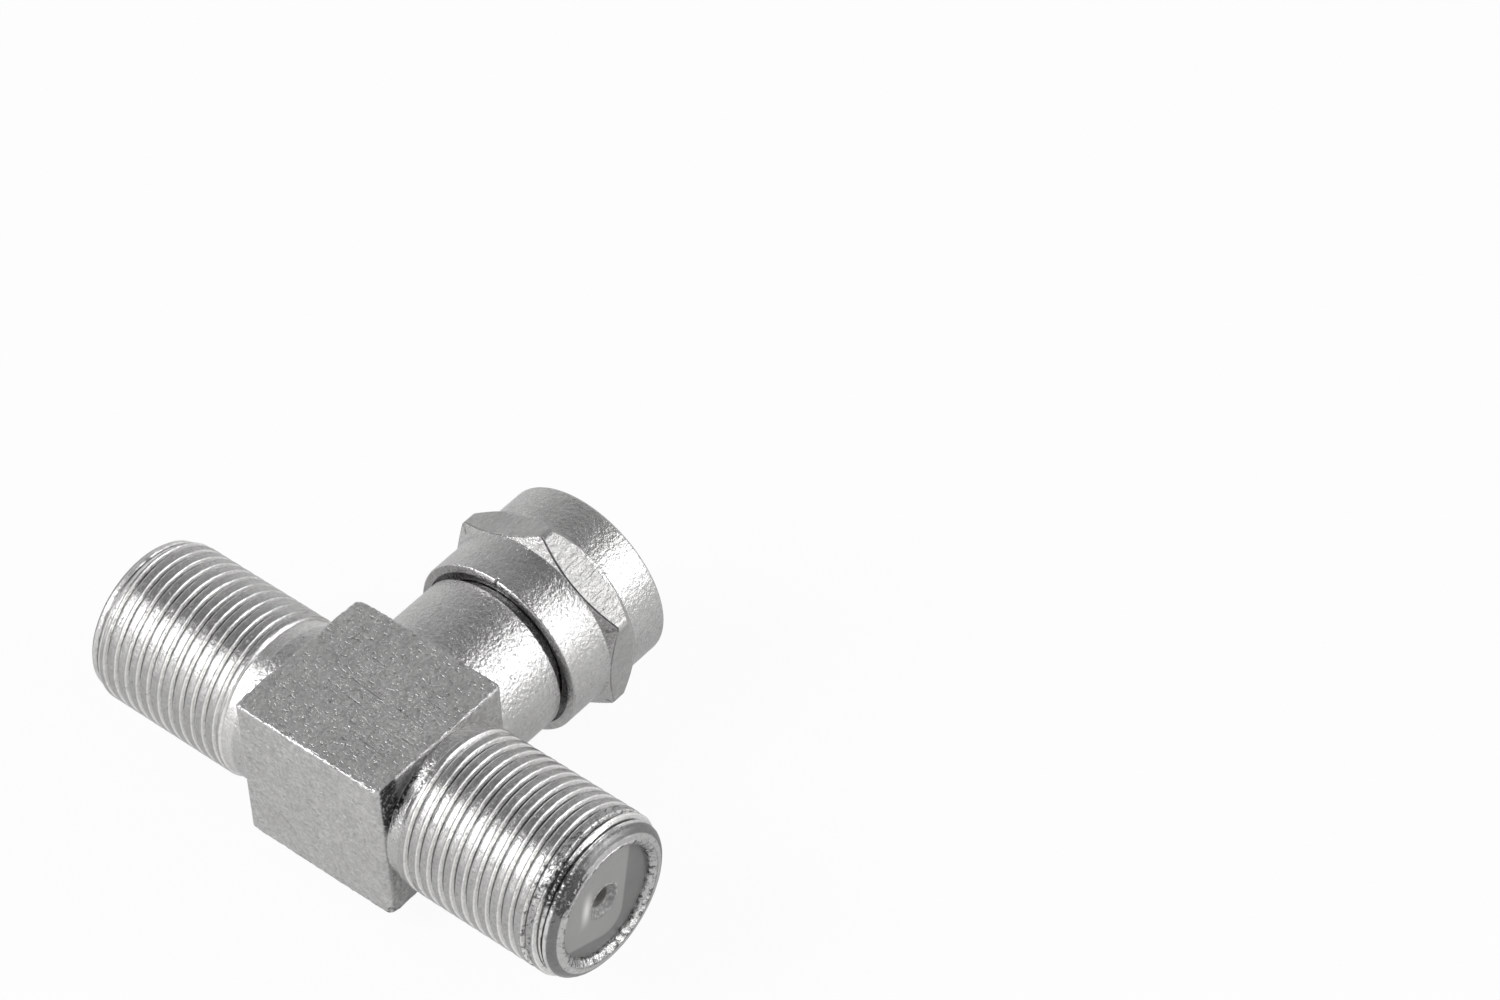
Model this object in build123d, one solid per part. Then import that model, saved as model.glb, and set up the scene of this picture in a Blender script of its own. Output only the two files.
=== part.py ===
from build123d import *

import math
import os

# Coaxial T-adapter: one screw-on plug and two threaded sockets on a cast block.
# Lengths are in millimetres. The two ports lie along X, the plug points along +Y, and Z is up.
# Everything is drawn from the point where the two axes cross, and set at the end so that the
# origin is the centre of the plug's mating face, where the centre pin leaves it.

# Block
block_x = 10.0
block_y = 9.5
block_z = 9.56
block_corner_round = 0.35
block_edge_bevel = 0.15

# Ports: every radius is stepped in from the crest of the thread
thread_radius = 4.74
thread_start_bevel = 0.12
neck_step = 0.16
lip_depth = 0.45
lip_overhang = 0.34
lip_inner_bevel = 0.3
seat_wall = 0.43
seat_step = 0.25
floor_inset = 1.0

# The two ports are cut to different lengths, and the near one is rolled in further at its end
ports = {
    "left": {"sign": -1, "neck": 1.6, "thread": 8.8, "nose": 1.1, "nose_step": 0.24, "round": 0.48},
    "right": {"sign": 1, "neck": 0.7, "thread": 9.4, "nose": 1.1, "nose_step": 0.66, "round": 0.4},
}
nose_bevel_length = 0.34
round_steps = 2

# Plug barrel and the stub that carries the nut
barrel_radius = 4.77
barrel_length = 4.53
barrel_bevel = 0.13
barrel_shoulder = 0.67
stub_groove_depth = 0.45
stub_land = 0.96
stub_bevel = 0.2
stub_wall = 1.05
plug_bore_depth = 4.5

# Coupling nut
nut_gap = 0.37
nut_length = 7.25
nut_float = 0.3
recess_clearance = 0.13
recess_depth = 0.35
collar_wall = 0.49
collar_length = 2.8
collar_bevel = 0.12
nut_running_clearance = 0.1
rear_web = 0.4
front_web = 0.6
relief_length = 0.56
relief_clearance = 0.06
thread_depth = 0.39
nut_front_wall = 1.1
nut_front_bevel = 0.2
nut_mouth_bevel = 0.4
hex_across_flats = 10.96
hex_corner_radius = 6.15
hex_length = 2.0
hex_rear_chamfer_angle = 30.0
hex_front_chamfer_angle = 44.0
hex_turn = 36.4

# Retaining ring, split, held in the nut and free in the stub's groove
ring_thickness = 0.5
ring_side_clearance = 0.02
ring_groove_clearance = 0.1
ring_bite = 0.5
ring_outer_clearance = 0.05
ring_split = 0.9
ring_split_angle = -8.0

# Conductors
push_clearance = 0.01
pin_radius = 0.5
pin_reach = 1.3
pin_tip_length = 0.6
pin_tip_bevel = 0.3
shank_step = 0.2
stem_wall = 0.15
stem_gap = 0.15
hub_wall = 0.64
hub_length = 4.8
hub_clearance = 0.8
socket_bore_radius = 0.5
socket_wall = 0.45
socket_bore_depth = 4.5
socket_slot_depth = 3.8
socket_slot_width = 0.22
socket_mouth_bevel = 0.15

# Insulators
front_insulator_length = 2.2
guide_clearance = 0.1
funnel_flare = 0.35
funnel_depth = 0.35
pocket_clearance = 0.15
pocket_depth = 1.2
pocket_end_clearance = 0.2
rear_insulator_length = 3.0
plug_insulator_recess = 0.05

# Radii that follow from the sizes above
neck_radius = thread_radius - neck_step
seat_radius = thread_radius - ports["right"]["nose_step"] - seat_wall
bore_radius = seat_radius - seat_step
lip_radius = seat_radius - lip_overhang
stub_radius = barrel_radius - barrel_shoulder
stub_groove_radius = stub_radius - stub_groove_depth
plug_bore_radius = stub_groove_radius - stub_wall
recess_radius = barrel_radius + recess_clearance
collar_radius = recess_radius + collar_wall
web_radius = stub_radius + nut_running_clearance
nut_thread_radius = thread_radius - thread_depth
relief_radius = thread_radius + relief_clearance
nut_front_radius = nut_thread_radius + nut_front_wall
ring_inner_radius = stub_groove_radius + ring_groove_clearance
ring_outer_radius = stub_radius + ring_bite
nut_groove_radius = ring_outer_radius + ring_outer_clearance
shank_radius = pin_radius + shank_step
stem_radius = shank_radius + stem_wall
hub_bore_radius = stem_radius + push_clearance
hub_radius = hub_bore_radius + hub_wall
tunnel_radius = hub_radius + hub_clearance
socket_radius = socket_bore_radius + socket_wall
guide_radius = socket_bore_radius + guide_clearance
funnel_radius = guide_radius + funnel_flare
pocket_radius = socket_radius + pocket_clearance

# Places along the plug axis, from the crossing of the axes
barrel_end = block_y / 2 + barrel_length
nut_rear = barrel_end + nut_gap
web_rear = nut_rear + recess_depth
nut_groove_rear = web_rear + rear_web
ring_rear = nut_groove_rear + ring_side_clearance
ring_front = ring_rear + ring_thickness
nut_groove_front = ring_front + ring_side_clearance
web_front = nut_groove_front + front_web
nut_thread_rear = web_front + relief_length
nut_front = nut_rear + nut_length
hex_rear = nut_rear + collar_length
hex_front = hex_rear + hex_length
stub_groove_rear = ring_rear - nut_float - ring_side_clearance
stub_groove_front = ring_front + ring_side_clearance
plug_face = stub_groove_front + stub_land
plug_bore_floor = plug_face - plug_bore_depth
plug_insulator_face = plug_face - plug_insulator_recess
pin_tip = nut_front + pin_reach
# the pin's square end stops just short of the curved wall of the hub's bore
pin_tail = math.sqrt(hub_bore_radius**2 - shank_radius**2) - push_clearance

# Places along a port's axis
port_floor = block_x / 2 + floor_inset
stem_end = shank_radius + stem_gap


def port_reach(port):
    """Distance from the crossing of the axes to the port's end."""
    return block_x / 2 + port["neck"] + port["thread"] + port["nose"]


def insulator_face(port):
    """Place of the front insulator's outer face, behind the rolled lip."""
    return port_reach(port) - lip_depth


def insulator_seat(port):
    """Place of the step in the bore that the front insulator sits against."""
    return insulator_face(port) - front_insulator_length


def contact_tip(port):
    """Place of the contact's open end, inside the front insulator's pocket."""
    return insulator_seat(port) + pocket_depth - pocket_end_clearance


def turned_about_x(points):
    """Solid turned about X from an outline given as (x, radius) points."""
    return revolve(make_face(Polyline(*points, close=True)), Axis.X)


def turned_about_y(points):
    """Solid turned about Y from an outline given as (radius, y) points."""
    return revolve(make_face(Polyline(*points, close=True)), Axis.Y)


def on_side(port, solid):
    """The right-hand solid as it is, or its mirror image for the left port."""
    return solid if port["sign"] > 0 else mirror(solid, Plane.YZ)


def rounded_corner(along, radius, size):
    """Points of an outline's round outer corner of that size, cut as a few short bevels."""
    turn = math.pi / 2 / round_steps
    return [
        (along - size + size * math.sin(i * turn), radius - size + size * math.cos(i * turn))
        for i in range(round_steps + 1)
    ]


def port_outside(port):
    """Neck, threaded length and rounded nose of one port, solid, pointing along +X."""
    neck_end = block_x / 2 + port["neck"]
    thread_end = neck_end + port["thread"]
    nose_start = thread_end + nose_bevel_length
    reach = port_reach(port)
    nose_radius = thread_radius - port["nose_step"]
    return turned_about_x([
        (0, 0),
        (0, neck_radius),
        (neck_end, neck_radius),
        (neck_end + thread_start_bevel, thread_radius),
        (thread_end, thread_radius),
        (nose_start, nose_radius),
        *rounded_corner(reach, nose_radius, port["round"]),
        (reach, 0),
    ])


def port_inside(port):
    """Space inside one port: tunnel, bore, insulator seat and the lip's opening."""
    reach = port_reach(port)
    face = insulator_face(port)
    seat = insulator_seat(port)
    return turned_about_x([
        (0, 0),
        (0, tunnel_radius),
        (port_floor, tunnel_radius),
        (port_floor, bore_radius),
        (seat, bore_radius),
        (seat, seat_radius),
        (face, seat_radius),
        (face, lip_radius),
        (reach - lip_inner_bevel, lip_radius),
        (reach, lip_radius + lip_inner_bevel),
        (reach + 1, lip_radius + lip_inner_bevel),
        (reach + 1, 0),
    ])


def barrel_outside():
    """Barrel and grooved stub on the plug side, solid."""
    return turned_about_y([
        (0, 0),
        (barrel_radius, 0),
        (barrel_radius, barrel_end - barrel_bevel),
        (barrel_radius - barrel_bevel, barrel_end),
        (stub_radius, barrel_end),
        (stub_radius, stub_groove_rear),
        (stub_groove_radius, stub_groove_rear),
        (stub_groove_radius, stub_groove_front),
        (stub_radius, stub_groove_front),
        (stub_radius, plug_face - stub_bevel),
        (stub_radius - stub_bevel, plug_face),
        (0, plug_face),
    ])


def barrel_inside():
    """Tunnel and insulator bore on the plug side."""
    return turned_about_y([
        (0, 0),
        (tunnel_radius, 0),
        (tunnel_radius, plug_bore_floor),
        (plug_bore_radius, plug_bore_floor),
        (plug_bore_radius, plug_face + 1),
        (0, plug_face + 1),
    ])


def cast_block():
    """The block, with rounded upright corners and lightly bevelled top and bottom edges."""
    block = Box(block_x, block_y, block_z)
    block = fillet(block.edges().filter_by(Axis.Z), block_corner_round)
    top_and_bottom = block.faces().filter_by(Axis.Z).edges()
    return chamfer(top_and_bottom, block_edge_bevel)


def body():
    """Block, two ports and the plug barrel, cast as one piece and bored."""
    cast = cast_block() + barrel_outside()
    for port in ports.values():
        cast += on_side(port, port_outside(port))
    cast -= barrel_inside()
    for port in ports.values():
        cast -= on_side(port, port_inside(port))
    return cast


def hexagon_band():
    """Six flats as a solid band, its corners chamfered at both ends and deeper at the front."""
    chamfer_start = hex_across_flats / 2
    chamfer_height = hex_corner_radius - chamfer_start
    rear_chamfer = chamfer_height * math.tan(math.radians(hex_rear_chamfer_angle))
    front_chamfer = chamfer_height * math.tan(math.radians(hex_front_chamfer_angle))
    turned = turned_about_y([
        (0, hex_rear),
        (chamfer_start, hex_rear),
        (hex_corner_radius, hex_rear + rear_chamfer),
        (hex_corner_radius, hex_front - front_chamfer),
        (chamfer_start, hex_front),
        (0, hex_front),
    ])
    flats = RegularPolygon(hex_across_flats / 2, 6, major_radius=False)
    prism = extrude(Plane.XZ * flats, amount=-nut_front)
    # one flat faces +Z as drawn, and is turned by hex_turn towards +X
    prism = Rot(0, hex_turn, 0) * prism
    return turned & prism


def coupling_nut():
    """Hexagon nut with a thin rear skirt, an inner web grooved for the ring, and its threaded bore."""
    outside = turned_about_y([
        (0, nut_rear),
        (collar_radius - collar_bevel, nut_rear),
        (collar_radius, nut_rear + collar_bevel),
        (collar_radius, hex_rear + hex_length / 2),
        (nut_front_radius, hex_rear + hex_length / 2),
        (nut_front_radius, nut_front - nut_front_bevel),
        (nut_front_radius - nut_front_bevel, nut_front),
        (0, nut_front),
    ])
    inside = turned_about_y([
        (0, nut_rear - 1),
        (recess_radius, nut_rear - 1),
        (recess_radius, web_rear),
        (web_radius, web_rear),
        (web_radius, nut_groove_rear),
        (nut_groove_radius, nut_groove_rear),
        (nut_groove_radius, nut_groove_front),
        (web_radius, nut_groove_front),
        (web_radius, web_front),
        (relief_radius, web_front),
        (relief_radius, nut_thread_rear),
        (nut_thread_radius, nut_thread_rear),
        (nut_thread_radius, nut_front - nut_mouth_bevel),
        (nut_thread_radius + nut_mouth_bevel, nut_front),
        (nut_thread_radius + nut_mouth_bevel, nut_front + 1),
        (0, nut_front + 1),
    ])
    return outside + hexagon_band() - inside


def retaining_ring():
    """Flat split ring that holds the nut on the stub."""
    ring = turned_about_y([
        (ring_inner_radius, ring_rear),
        (ring_outer_radius, ring_rear),
        (ring_outer_radius, ring_front),
        (ring_inner_radius, ring_front),
    ])
    split_height = ring_outer_radius * 2
    split = Box(ring_split, ring_thickness * 3, split_height, align=(Align.CENTER, Align.CENTER, Align.MIN))
    split = Pos(0, (ring_rear + ring_front) / 2, 0) * split
    return ring - Rot(0, ring_split_angle, 0) * split


def port_contact(port):
    """Turned spring socket: a stem that enters the hub, and a slotted tube that grips a wire."""
    tip = contact_tip(port)
    shoulder = port_floor + rear_insulator_length
    turned = turned_about_x([
        (stem_end, 0),
        (stem_end, stem_radius),
        (shoulder, stem_radius),
        (shoulder, socket_radius),
        (tip - socket_mouth_bevel, socket_radius),
        (tip, socket_radius - socket_mouth_bevel),
        (tip, socket_bore_radius),
        (tip - socket_bore_depth, socket_bore_radius),
        (tip - socket_bore_depth, 0),
    ])
    slot = Box(
        socket_slot_depth + 1,
        socket_slot_width,
        socket_radius * 3,
        align=(Align.MAX, Align.CENTER, Align.CENTER),
    )
    return on_side(port, turned - Pos(tip + 1, 0, 0) * slot)


def front_insulator(port):
    """Disc that closes the port, with a funnelled guide hole and a pocket for the contact's end."""
    face = insulator_face(port)
    seat = insulator_seat(port)
    outer_radius = seat_radius - push_clearance
    return on_side(port, turned_about_x([
        (seat, pocket_radius),
        (seat, outer_radius),
        (face, outer_radius),
        (face, funnel_radius),
        (face - funnel_depth, guide_radius),
        (seat + pocket_depth, guide_radius),
        (seat + pocket_depth, pocket_radius),
    ]))


def rear_insulator(port):
    """Bush at the foot of the port's bore that carries the contact's stem."""
    outer_radius = bore_radius - push_clearance
    hole_radius = stem_radius + push_clearance
    return on_side(port, turned_about_x([
        (port_floor, hole_radius),
        (port_floor, outer_radius),
        (port_floor + rear_insulator_length, outer_radius),
        (port_floor + rear_insulator_length, hole_radius),
    ]))


def junction_hub():
    """Small turned hub that joins the two contacts and the plug's pin."""
    hub = Rot(0, 90, 0) * Cylinder(hub_radius, hub_length)
    through = Rot(0, 90, 0) * Cylinder(hub_bore_radius, hub_length * 2)
    from_middle = (Align.CENTER, Align.CENTER, Align.MIN)
    pin_hole = Cylinder(shank_radius + push_clearance, hub_radius * 2, align=from_middle)
    return hub - through - Rot(-90, 0, 0) * pin_hole


def plug_pin():
    """Centre pin, from a thicker shank in the hub to its tapered tip in front of the nut."""
    return turned_about_y([
        (0, -pin_tail),
        (shank_radius, -pin_tail),
        (shank_radius, plug_insulator_face),
        (pin_radius, plug_insulator_face),
        (pin_radius, pin_tip - pin_tip_length),
        (pin_radius - pin_tip_bevel, pin_tip),
        (0, pin_tip),
    ])


def plug_insulator():
    """Bush that centres the pin in the plug's stub."""
    outer_radius = plug_bore_radius - push_clearance
    hole_radius = shank_radius + push_clearance
    return turned_about_y([
        (hole_radius, plug_bore_floor),
        (outer_radius, plug_bore_floor),
        (outer_radius, plug_insulator_face),
        (hole_radius, plug_insulator_face),
    ])


pieces = {
    "body": body(),
    "coupling_nut": coupling_nut(),
    "retaining_ring": retaining_ring(),
    "junction_hub": junction_hub(),
    "plug_pin": plug_pin(),
    "plug_insulator": plug_insulator(),
}
for side, port in ports.items():
    pieces[side + "_contact"] = port_contact(port)
    pieces[side + "_front_insulator"] = front_insulator(port)
    pieces[side + "_rear_insulator"] = rear_insulator(port)

os.makedirs("parts", exist_ok=True)
to_plug_face = Pos(0, -plug_face, 0)
for name, piece in pieces.items():
    export_step(to_plug_face * piece, f"parts/{name}.step")
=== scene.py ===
import math

import bmesh
import bpy
from mathutils import Matrix, Vector, noise


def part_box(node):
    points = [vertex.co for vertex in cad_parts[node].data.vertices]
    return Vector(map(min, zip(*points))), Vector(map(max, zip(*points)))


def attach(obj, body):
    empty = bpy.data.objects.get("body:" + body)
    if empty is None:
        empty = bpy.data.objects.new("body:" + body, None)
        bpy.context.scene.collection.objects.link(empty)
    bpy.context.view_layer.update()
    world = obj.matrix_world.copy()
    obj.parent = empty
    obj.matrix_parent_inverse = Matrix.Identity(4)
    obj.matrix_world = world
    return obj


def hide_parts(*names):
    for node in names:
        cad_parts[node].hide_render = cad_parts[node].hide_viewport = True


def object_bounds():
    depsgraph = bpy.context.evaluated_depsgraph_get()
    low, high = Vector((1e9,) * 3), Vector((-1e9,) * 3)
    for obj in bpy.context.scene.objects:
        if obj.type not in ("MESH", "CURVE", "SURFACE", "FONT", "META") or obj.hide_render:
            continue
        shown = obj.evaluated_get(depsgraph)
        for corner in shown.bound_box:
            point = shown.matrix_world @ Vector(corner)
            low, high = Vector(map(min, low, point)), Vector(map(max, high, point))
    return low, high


# Coaxial T-adapter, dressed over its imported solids. Lengths are in millimetres, measured from the
# point where the plug's axis and the ports' axis cross, until a mesh is made in metres.

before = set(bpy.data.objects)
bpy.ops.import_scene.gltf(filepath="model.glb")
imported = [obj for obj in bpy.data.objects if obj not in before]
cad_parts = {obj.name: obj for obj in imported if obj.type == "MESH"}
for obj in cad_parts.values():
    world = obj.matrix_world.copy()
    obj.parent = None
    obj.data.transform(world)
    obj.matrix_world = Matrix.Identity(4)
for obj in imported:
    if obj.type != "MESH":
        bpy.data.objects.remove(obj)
cad_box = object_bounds()
MM = 0.001

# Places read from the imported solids
contact_low, contact_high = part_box("right_contact")
crossing = Vector((0, (contact_low.y + contact_high.y) / 2, 0))
floor_height = cad_box[0][2]
nut_low, nut_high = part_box("coupling_nut")
nut_rear = (nut_low.y - crossing.y) / MM
nut_front = (nut_high.y - crossing.y) / MM
body_low, body_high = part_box("body")
left_reach = -body_low.x / MM
right_reach = body_high.x / MM
plug_face = (body_high.y - crossing.y) / MM

# Block
block_x = 10.0
block_y = 9.5
block_z = 9.56
block_corner_rounds = {"back_right": 0.28, "back_left": 0.5, "front_left": 0.28, "front_right": 0.45}
block_point_gap = 0.1
block_side = block_x / 2
block_face = block_y / 2
block_top = block_z / 2

# Worn edge round the block's top, and round its bottom, which has less
edge_wear_width = 0.14
least_edge_wear = 0.035
most_edge_wear = 0.24
bottom_wear_share = 0.6
corner_wear = 0.07
corner_wear_reach = 0.7

# Ports
crest_radius = 4.74
neck_radius = 4.58
thread_pitch = 0.794
root_flat = 0.03
crest_hollow = 0.04
core_radius = 4.02
bore_radius = 3.4
seat_radius = 3.65
lip_radius = 3.31
lip_depth = 0.45
lip_inner_bevel = 0.3
insulator_length = 2.2
tunnel_radius = 2.3
port_floor = 6.0
nose_bevel_length = 0.34
nose_length = 1.1

# Port thread. Its crests are worn unevenly: wider on one side, in patches, and nicked.
thread_depth = 0.3
root_radius = crest_radius - thread_depth
crest_round = 0.085
crest_round_depth = 0.07
crest_side_change = 0.1
crest_patch_change = 0.16
crest_nick_depth = 0.03
thread_runout = 0.7
spare_turns = 3

# The widest side of a port's crests is measured in degrees from +Y, and the front share is
# the front flank's part of both flanks' width
right_port = {
    "neck": 5.7,
    "nose": 4.5,
    "round": 0.58,
    "crest flat": 0.3,
    "widest side": 95,
    "front share": 0.38,
    "seed": 1.3,
}
left_port = {
    "neck": 6.6,
    "nose": 4.5,
    "round": 0.45,
    "crest flat": 0.34,
    "widest side": 90,
    "front share": 0.62,
    "seed": 6.1,
}

# Crease behind a port's rolled end, and the crinkled burr in front of the crease
crease_depth = 0.05
burr_height = 0.05
burr_place = 0.12
burr_half_width = 0.1
burr_sway = 0.04

# Barrel and stub
barrel_radius = 4.77
barrel_end = 9.28
barrel_bevel = 0.13
stub_radius = 4.1
stub_groove_radius = 3.65
stub_groove_rear = 10.1
stub_groove_front = 10.94
stub_bevel = 0.2
plug_bore_radius = 2.6
plug_bore_depth = 4.5

# Coupling nut
collar_radius = 5.39
collar_bevel = 0.12
recess_radius = 4.9
recess_depth = 0.35
web_radius = 4.2
nut_groove_radius = 4.65
nut_groove_rear = 10.4
nut_groove_front = 10.94
web_front = 11.54
relief_radius = 4.8
nut_thread_rear = 12.1
nut_thread_radius = 4.35
nut_mouth_bevel = 0.4
nut_front_radius = 5.45
nut_front_bevel = 0.2
hex_rear = 12.45
hex_front = 14.45
hex_across_flats = 10.96
hex_cone_start = hex_across_flats / 2 - 0.02
hex_corner_radius = 6.24
hex_lowest_corner_radius = 6.15
hex_rear_chamfer_angle = math.radians(30)
hex_front_chamfer_angle = math.radians(44)
hex_turn = math.radians(36.4)
hex_edge_round = 0.03

# The barrel and the ports begin this far past the middle of the block, and so overlap it
join_start = 0.5

# Fineness of the meshes
port_columns = 240
thread_rows = 12
nut_columns = 540
hex_row_gap = 0.05
round_steps = 6
bevel_steps = 4
block_corner_steps = 8
block_wear_steps = 4
hidden_columns = 96
tap_columns = 180
smooth_angle = math.radians(34)


class Wire:
    """One output in a node tree. Plain maths on it adds Math nodes."""

    def __init__(self, bench, socket):
        self.bench = bench
        self.socket = socket

    def __add__(self, other):
        return self.bench.maths("ADD", self, other)

    def __radd__(self, other):
        return self.bench.maths("ADD", other, self)

    def __sub__(self, other):
        return self.bench.maths("SUBTRACT", self, other)

    def __rsub__(self, other):
        return self.bench.maths("SUBTRACT", other, self)

    def __mul__(self, other):
        return self.bench.maths("MULTIPLY", self, other)

    def __rmul__(self, other):
        return self.bench.maths("MULTIPLY", other, self)

    def __truediv__(self, other):
        return self.bench.maths("DIVIDE", self, other)

    def __rtruediv__(self, other):
        return self.bench.maths("DIVIDE", other, self)


class Bench:
    """Builds one node tree, of a material, the world or a mesh."""

    def __init__(self, tree):
        self.tree = tree

    def add(self, kind, settings=None, sockets=None, output=0):
        """Adds a node: its settings first, then the values or links of its sockets.

        Sockets and the output that is wanted go by their name or their number.
        """
        node = self.tree.nodes.new(kind)
        for name, value in (settings or {}).items():
            setattr(node, name, value)
        for key, value in (sockets or {}).items():
            if isinstance(value, Wire):
                self.tree.links.new(value.socket, node.inputs[key])
            else:
                node.inputs[key].default_value = value
        return Wire(self, node.outputs[output]) if len(node.outputs) else node

    def outputs(self, wire):
        """All outputs of the node that a wire comes from."""
        return [Wire(self, socket) for socket in wire.socket.node.outputs]

    def maths(self, operation, *values):
        return self.add("ShaderNodeMath", {"operation": operation}, dict(enumerate(values)))

    def ramp(self, value, start, end, low=0.0, high=1.0, smooth=True):
        """Value turned from start..end into low..high, and held beyond both ends."""
        kind = "SMOOTHSTEP" if smooth else "LINEAR"
        sockets = {0: value, 1: start, 2: end, 3: low, 4: high}
        return self.add("ShaderNodeMapRange", {"interpolation_type": kind}, sockets)

    def band(self, value, start, end, soft):
        """1 between start and end, 0 outside, with soft edges."""
        return self.ramp(value, start - soft, start + soft) * self.ramp(value, end + soft, end - soft)

    def vector(self, x, y, z):
        return self.add("ShaderNodeCombineXYZ", None, {0: x, 1: y, 2: z})

    def parts(self, vector):
        return self.outputs(self.add("ShaderNodeSeparateXYZ", None, {0: vector}))

    def noise(self, vector, scale, detail=2.0, rough=0.5, seed=0.0):
        sockets = {"Vector": vector, "W": seed, "Scale": scale, "Detail": detail, "Roughness": rough}
        return self.add("ShaderNodeTexNoise", {"noise_dimensions": "4D"}, sockets)

    def cells(self, vector, scale, output="Distance"):
        """Distance from the nearest of many scattered points, or that point's random Color."""
        return self.add("ShaderNodeTexVoronoi", None, {"Vector": vector, "Scale": scale}, output)

    def mix_colour(self, share, first, second):
        return self.add("ShaderNodeMix", {"data_type": "RGBA"}, {0: share, 6: first, 7: second}, 2)

    def bump(self, height):
        """Surface relief from a height in millimetres."""
        return self.add("ShaderNodeBump", None, {"Strength": 1.0, "Distance": MM, "Height": height})

    def rays(self, *kinds):
        """1 for rays of each of those kinds, such as Camera."""
        node = self.add("ShaderNodeLightPath").socket.node
        return [Wire(self, node.outputs["Is " + kind + " Ray"]) for kind in kinds]


def grey(level):
    return (level, level, level, 1.0)


# Meshes

def piece(name, mesh, body):
    """An object for a finished mesh, riding on its body."""
    obj = bpy.data.objects.new(name, mesh)
    bpy.context.scene.collection.objects.link(obj)
    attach(obj, body)
    return obj


def solid(points, faces):
    """A loose object from points in millimetres, with its faces turned outwards."""
    mesh = bpy.data.meshes.new("solid")
    mesh.from_pydata([Vector(p) * MM + crossing for p in points], [], faces)
    work = bmesh.new()
    work.from_mesh(mesh)
    bmesh.ops.recalc_face_normals(work, faces=work.faces)
    work.to_mesh(mesh)
    work.free()
    obj = bpy.data.objects.new("solid", mesh)
    bpy.context.scene.collection.objects.link(obj)
    return obj


def about_x(along, radius, angle):
    return (along, radius * math.cos(angle), radius * math.sin(angle))


def about_y(along, radius, angle):
    return (radius * math.sin(angle), along, radius * math.cos(angle))


def turned(outline, columns, place, shaping=None):
    """A closed solid turned from (along, radius) points.

    An outline that starts and ends on the axis gets poles, any other is a closed ring.
    Shaping moves a point, given its place along the axis, its radius and its angle.
    """
    has_poles = outline[0][1] == 0
    rings = outline[1:-1] if has_poles else outline
    points = []
    for along, radius in rings:
        for column in range(columns):
            angle = 2 * math.pi * column / columns
            at = shaping(along, radius, angle) if shaping else (along, radius)
            points.append(place(*at, angle))
    faces = []
    ring_pairs = len(rings) - 1 if has_poles else len(rings)
    for ring in range(ring_pairs):
        first = ring * columns
        second = (ring + 1) % len(rings) * columns
        for column in range(columns):
            after = (column + 1) % columns
            faces.append((first + column, first + after, second + after, second + column))
    if has_poles:
        last = (len(rings) - 1) * columns
        points.append(place(*outline[0], 0))
        points.append(place(*outline[-1], 0))
        start_pole = len(points) - 2
        end_pole = len(points) - 1
        for column in range(columns):
            after = (column + 1) % columns
            faces.append((start_pole, after, column))
            faces.append((end_pole, last + column, last + after))
    return solid(points, faces)


def combine(base, tool, operation):
    """Adds the tool to the base or cuts it away. Both are closed solids."""
    change = base.modifiers.new("change", "BOOLEAN")
    change.operation = operation
    change.solver = "MANIFOLD"
    change.object = tool
    ready = base.evaluated_get(bpy.context.evaluated_depsgraph_get())
    mesh = bpy.data.meshes.new_from_object(ready)
    base.modifiers.clear()
    base.data = mesh
    bpy.data.objects.remove(tool)


def finished(obj):
    """The mesh of a loose solid, welded and smooth between its sharp edges. The object is removed."""
    mesh = obj.data
    bpy.data.objects.remove(obj)
    work = bmesh.new()
    work.from_mesh(mesh)
    bmesh.ops.remove_doubles(work, verts=work.verts, dist=0.0005 * MM)
    bmesh.ops.dissolve_degenerate(work, edges=work.edges, dist=0.0002 * MM)
    work.to_mesh(mesh)
    work.free()
    mesh.materials.clear()
    for face in mesh.polygons:
        face.use_smooth = True
        face.material_index = 0
    mesh.set_sharp_from_angle(angle=smooth_angle)
    return mesh


def rough_at(x, y, z, size, seed=0.0):
    """Smooth random value from -1 to 1 that changes over about that size."""
    return noise.noise(Vector((x / size + seed, y / size, z / size)))


def quarter(along, radius, size, depth=None):
    """Points of an outline's round outer corner. It is as deep as it is long, or has its own depth."""
    depth = depth or size
    turn = math.pi / 2 / round_steps
    return [
        (along - size + size * math.sin(i * turn), radius - depth + depth * math.cos(i * turn))
        for i in range(round_steps + 1)
    ]


# Screw thread, wound by a node tree

THREAD_SIZES = {
    "Start": "Float",
    "End": "Float",
    "Pitch": "Float",
    "Start radius": "Float",
    "Crest radius": "Float",
    "Depth": "Float",
    "Crest flat": "Float",
    "Widest side": "Float",
    "Crest hollow": "Float",
    "Root flat": "Float",
    "Front share": "Float",
    "Crest round": "Float",
    "Round depth": "Float",
    "Runout": "Float",
    "Nose start": "Float",
    "Nose slope": "Float",
    "End radius": "Float",
    "Turns": "Int",
    "Rows per turn": "Int",
    "Columns": "Int",
    "Seed": "Float",
}


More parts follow.
